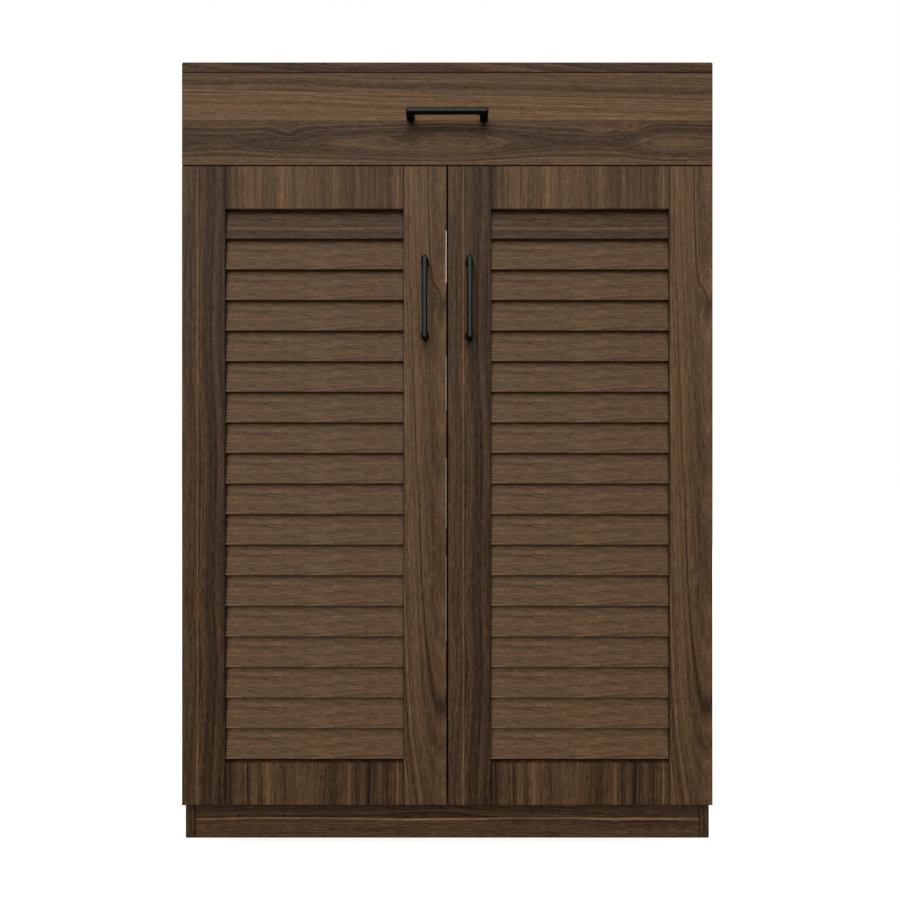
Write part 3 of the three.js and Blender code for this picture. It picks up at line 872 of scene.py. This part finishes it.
def build_handle(node, upright, body):
    """A bar with bevelled edges on two round posts, held by two screws from behind."""
    low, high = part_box(node)
    centre = (low + high) / 2
    face = high.y
    reach = high.y - low.y
    half = BAR_WIDTH / 2
    chamfer = 1.9 * MM
    sections = [
        (-half, chamfer),
        (-half + 0.25 * MM, chamfer * 0.72),
        (-half + chamfer * 0.75, 0.22 * MM),
        (-half + chamfer, 0.0),
        (half - chamfer, 0.0),
        (half - chamfer * 0.75, 0.22 * MM),
        (half - 0.25 * MM, chamfer * 0.72),
        (half, chamfer),
    ]
    bm = bmesh.new()

    def placed(run, out, side):
        if upright:
            return Vector((centre.x + side, face - out, centre.z + run))
        return Vector((centre.x + run, face - out, centre.z + side))

    rings = []
    for side, inset in sections:
        rings.append([placed(run, out, side) for run, out in bridge_outline(inset, reach)])
    loft(bm, rings)
    post = [
        (0.2 * MM, 0.0),
        (POST_RADIUS, 0.0),
        (POST_RADIUS, 1.2 * MM),
        (POST_RADIUS - 0.25 * MM, 1.6 * MM),
        (POST_RADIUS - 0.25 * MM, POST_HEIGHT - 8 * MM),
        (POST_RADIUS - 0.6 * MM, POST_HEIGHT - 3 * MM),
        (POST_RADIUS - 1.8 * MM, POST_HEIGHT - 0.5 * MM),
        (0.2 * MM, POST_HEIGHT),
    ]
    for end in (-1, 1):
        foot = placed(end * HANDLE_HOLES / 2, 0.0, 0.0)
        turned(bm, post, facing(foot, (0, -1, 0)), segments=32)
    under = face - reach + BAR_DEPTH
    geometry = bm.verts[:] + bm.edges[:] + bm.faces[:]
    bmesh.ops.bisect_plane(bm, geom=geometry, plane_co=(0, under, 0), plane_no=(0, 1, 0))
    piece = new_object(f"{node}_bar", bm, black, body, [node], smooth=True)
    piece.data.materials.append(black_legs)
    for polygon in piece.data.polygons:
        polygon.material_index = 1 if polygon.center.y > under else 0
    # marks the bar's front face, which the powder coat paints grey as a painted highlight
    values = []
    for vertex in piece.data.vertices:
        values.append(1.0 if face - vertex.co.y > reach - 0.1 * MM else 0.0)
    write_point_values(piece.data, "edge", "FLOAT", values)
    for index, end in enumerate((-1, 1)):
        spot = placed(end * HANDLE_HOLES / 2, -FRONT_THICK, 0.0)
        screw(f"{node}_screw_{index + 1}", spot, (0, 1, 0), 4 * MM, body, zinc)


# ---------- doors ----------


def slat_outline(foot_y, low, rise, lean):
    """Cross-section of a slat in Y and Z, with a rounded nose at its lower front edge."""
    slope = lean / SLAT_RISE
    high = low + rise
    nose = 1.3 * MM
    ease = 0.5 * MM
    back = foot_y + SLAT_THICK
    return [
        (foot_y + nose, low),
        (back - ease, low),
        (back, low + ease),
        (back + rise * slope, high - ease),
        (back + rise * slope - ease, high),
        (foot_y + rise * slope + ease, high),
        (foot_y + rise * slope, high - ease),
        (foot_y + nose * slope, low + nose),
        (foot_y + nose * 0.12, low + nose * 0.5),
        (foot_y + nose * 0.45, low + nose * 0.13),
    ]


def build_slat(name, node, low_z, body, material):
    """One leaning slat whose ends sit in the stiles."""
    box_low, box_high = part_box(node)
    left = box_low.x + LOUVRE_TONGUE - SLAT_TENON
    right = box_high.x - LOUVRE_TONGUE + SLAT_TENON
    lean = box_high.y - box_low.y - SLAT_THICK
    rise = min(SLAT_RISE, box_high.z - low_z)
    outline = slat_outline(box_low.y, low_z, rise, lean)
    stations = [left, left + SLAT_TENON + 2 * MM, right - SLAT_TENON - 2 * MM, right]
    bm = bmesh.new()
    loft(bm, [[Vector((x, y, z)) for y, z in outline] for x in stations])
    piece = new_object(name, bm, material, body, [node])
    grain = []
    edge = []
    for vertex in piece.data.vertices:
        x, y, z = vertex.co
        grain.append((x - left, z - low_z, y - box_low.y))
        # painted shade: the ends inside the stiles, fading out just beyond them, where the stiles shade
        # the slat
        edge.append(1.0 if min(x - left, right - x) < SLAT_TENON else 0.0)
    write_point_values(piece.data, "grain", "FLOAT_VECTOR", grain)
    write_point_values(piece.data, "edge", "FLOAT", edge)


def build_louvre(side):
    node = f"{side}_door_louvre"
    top_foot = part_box(node)[1].z - TOP_SLAT_DROP
    for i in range(SLATS):
        # the highest slat takes the wood with the rail's shadow painted in
        material = top_slat_shaded_wood if i == 0 else slat_wood
        foot = top_foot - i * SLAT_PITCH
        build_slat(f"{side}_door_slat_{i + 1:02d}", node, foot, f"{side}_door", material)


def cup_pockets(side):
    """Round pockets in the back of a stile, where the hinge cups sit."""
    pockets = []
    for level in ("lower", "upper"):
        low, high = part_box(f"{side}_{level}_hinge_cup")
        radius = (high.x - low.x) / 2 - CUP_LIP
        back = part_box(f"{side}_door_outer_stile")[1].y
        centre = Vector(((low.x + high.x) / 2, back, (low.z + high.z) / 2))
        pockets.append((centre, (0, 1, 0), radius, CUP_POCKET_DEPTH))
    return pockets


def build_door(side):
    """Both doors carry the same print, so the stile on the left looks alike on both."""
    body = f"{side}_door"
    outer, inner = f"{side}_door_outer_stile", f"{side}_door_inner_stile"
    on_left = outer if side == "left" else inner
    on_right = inner if side == "left" else outer
    # the left door's right stile carries the painted strip of light from the door gap
    right_wood = stile_right_gap_light if side == "left" else stile_right
    for node, wood in ((on_left, stile_left), (on_right, right_wood)):
        holes = cup_pockets(side) if node == outer else ()
        board(node, "z", "x", wood, body, holes)
    left_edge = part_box(on_left)[1].x
    right_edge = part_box(on_right)[0].x
    for node, wood in ((f"{body}_top_rail", top_rail_wood), (f"{body}_bottom_rail", low_rail_wood)):
        low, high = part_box(node)
        between = (Vector((left_edge, low.y, low.z)), Vector((right_edge, high.y, high.z)))
        board(node, "z", "x", wood, body, box=between)
    build_louvre(side)
    build_handle(f"{side}_door_handle", True, body)


# ---------- hinges and pads ----------


def build_hinges(side):
    """CAD hinge parts get their plating, and each plate and cup gets its screws."""
    inward = 1 if side == "left" else -1
    for level in ("lower", "upper"):
        for part in ("arm", "link", "cup"):
            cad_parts[f"{side}_{level}_hinge_{part}"].data.materials[0] = nickel
        arm_low, arm_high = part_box(f"{side}_{level}_hinge_arm")
        cup_low, cup_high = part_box(f"{side}_{level}_hinge_cup")
        wall = arm_low.x if side == "left" else arm_high.x
        plate_x = wall + inward * HINGE_PLATE
        plate_y = arm_high.y - PLATE_SCREW_BACK
        plate_z = (arm_low.z + arm_high.z) / 2
        cup_x = (cup_low.x + cup_high.x) / 2 + inward * CUP_SCREW_INWARD
        cup_z = (cup_low.z + cup_high.z) / 2
        radius = HINGE_SCREW_RADIUS
        for index, end in enumerate((-1, 1)):
            spot = (plate_x, plate_y, plate_z + end * PLATE_SCREW_RISE)
            name = f"{side}_{level}_plate_screw_{index + 1}"
            screw(name, spot, (inward, 0, 0), radius, "cabinet", nickel)
            spot = (cup_x, cup_high.y, cup_z + end * CUP_SCREW_RISE)
            name = f"{side}_{level}_cup_screw_{index + 1}"
            screw(name, spot, (0, 1, 0), radius, f"{side}_door", nickel, rise=0.3)
    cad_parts[f"{side}_door_bumper"].data.materials[0] = pad_rubber


# ---------- drawer and slides ----------


def build_drawer():
    board("drawer_front", "x", "z", drawer_wood, "drawer")
    for node in ("drawer_left_side", "drawer_right_side"):
        board(node, "y", "z", inner_wood, "drawer")
    board("drawer_back", "x", "z", inner_wood, "drawer")
    board("drawer_bottom", "x", "y", inner_wood, "drawer", radius=THIN_EDGE_RADIUS)
    build_handle("drawer_handle", False, "drawer")


def build_slides(side):
    """CAD slide channels get their plating, and the drawer's own channel its screws."""
    inward = 1 if side == "left" else -1
    for part in ("cabinet", "middle", "drawer"):
        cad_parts[f"{side}_slide_{part}_member"].data.materials[0] = zinc
    low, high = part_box(f"{side}_slide_drawer_member")
    web = high.x if side == "left" else low.x
    for index, share in enumerate((0.12, 0.5, 0.88)):
        spot = (web - inward * 1.2 * MM, low.y + share * (high.y - low.y), (low.z + high.z) / 2)
        name = f"{side}_slide_screw_{index + 1}"
        screw(name, spot, (-inward, 0, 0), 3 * MM, "drawer", zinc, rise=0.35)


def build_pins():
    """CAD shelf pins get their plating."""
    for level in ("lower", "upper"):
        for side in ("left", "right"):
            for end in ("front", "back"):
                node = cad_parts[f"{level}_shelf_pin_{side}_{end}"]
                node.data.materials[0] = zinc


# ---------- stage ----------


def area_light(name, spot, target, size, power):
    """A square soft light at a spot, aimed at a target."""
    lamp = bpy.data.lights.new(name, "AREA")
    lamp.shape = "SQUARE"
    lamp.size = size
    lamp.energy = power
    holder = bpy.data.objects.new(name, lamp)
    holder.location = spot
    aim = Vector(target) - Vector(spot)
    holder.rotation_euler = aim.to_track_quat("-Z", "Y").to_euler()
    bpy.context.scene.collection.objects.link(holder)


def build_stage():
    """White floor and backdrop, one soft key light and three fills."""
    bm = bmesh.new()
    bmesh.ops.create_grid(bm, x_segments=1, y_segments=1, size=12.0)
    mesh = bpy.data.meshes.new("studio_floor")
    bm.to_mesh(mesh)
    bm.free()
    mesh.materials.append(studio_floor("studio_floor"))
    floor = bpy.data.objects.new("studio_floor", mesh)
    floor.location.z = cad_bounds[0][2] - 0.0005
    bpy.context.scene.collection.objects.link(floor)

    world = bpy.data.worlds.new("studio")
    world.use_nodes = True
    nodes = world.node_tree.nodes
    links = world.node_tree.links
    backdrop = nodes["Background"]
    backdrop.inputs["Color"].default_value = (1.0, 1.0, 1.0, 1.0)
    fill = nodes.new("ShaderNodeBackground")
    fill.inputs["Color"].default_value = (1.0, 1.0, 1.0, 1.0)
    fill.inputs["Strength"].default_value = 0.3
    seen = nodes.new("ShaderNodeLightPath")
    either = nodes.new("ShaderNodeMixShader")
    links.new(seen.outputs["Is Camera Ray"], either.inputs[0])
    links.new(fill.outputs[0], either.inputs[1])
    links.new(backdrop.outputs[0], either.inputs[2])
    links.new(either.outputs[0], nodes["World Output"].inputs["Surface"])
    bpy.context.scene.world = world
    bpy.context.scene.view_settings.view_transform = "Standard"
    lamp = bpy.data.lights.new("key", "SUN")
    lamp.energy = 2.45
    lamp.angle = math.radians(50)
    key = bpy.data.objects.new("key", lamp)
    key.rotation_euler = (math.radians(58), 0, math.radians(-8))
    bpy.context.scene.collection.objects.link(key)
    area_light("rear_fill", (1.4, 3.2, 2.2), (0, 0, 0.5), 2.0, 65.0)
    for name, x in (("left_fill", -2.8), ("right_fill", 2.8)):
        area_light(name, (x, 0.4, 1.6), (0, 0.1, 0.5), 1.6, 28.0)


def build_camera():
    """Level camera in front of the drawer and doors, a little right of their middle."""
    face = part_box("drawer_front")[0].y
    camera = bpy.data.cameras.new("camera")
    camera.sensor_width = 36.0
    camera.lens = 38.21
    holder = bpy.data.objects.new("camera", camera)
    holder.location = (CAMERA_ACROSS, face - CAMERA_AHEAD, CAMERA_HEIGHT)
    holder.rotation_euler = (math.radians(90), 0, 0)
    bpy.context.scene.collection.objects.link(holder)
    bpy.context.scene.camera = holder


# ---------- the whole scene ----------

build_camera()
build_stage()
build_carcass()
build_back()
build_pins()
build_drawer()
for side in ("left", "right"):
    build_door(side)
    build_hinges(side)
    build_slides(side)
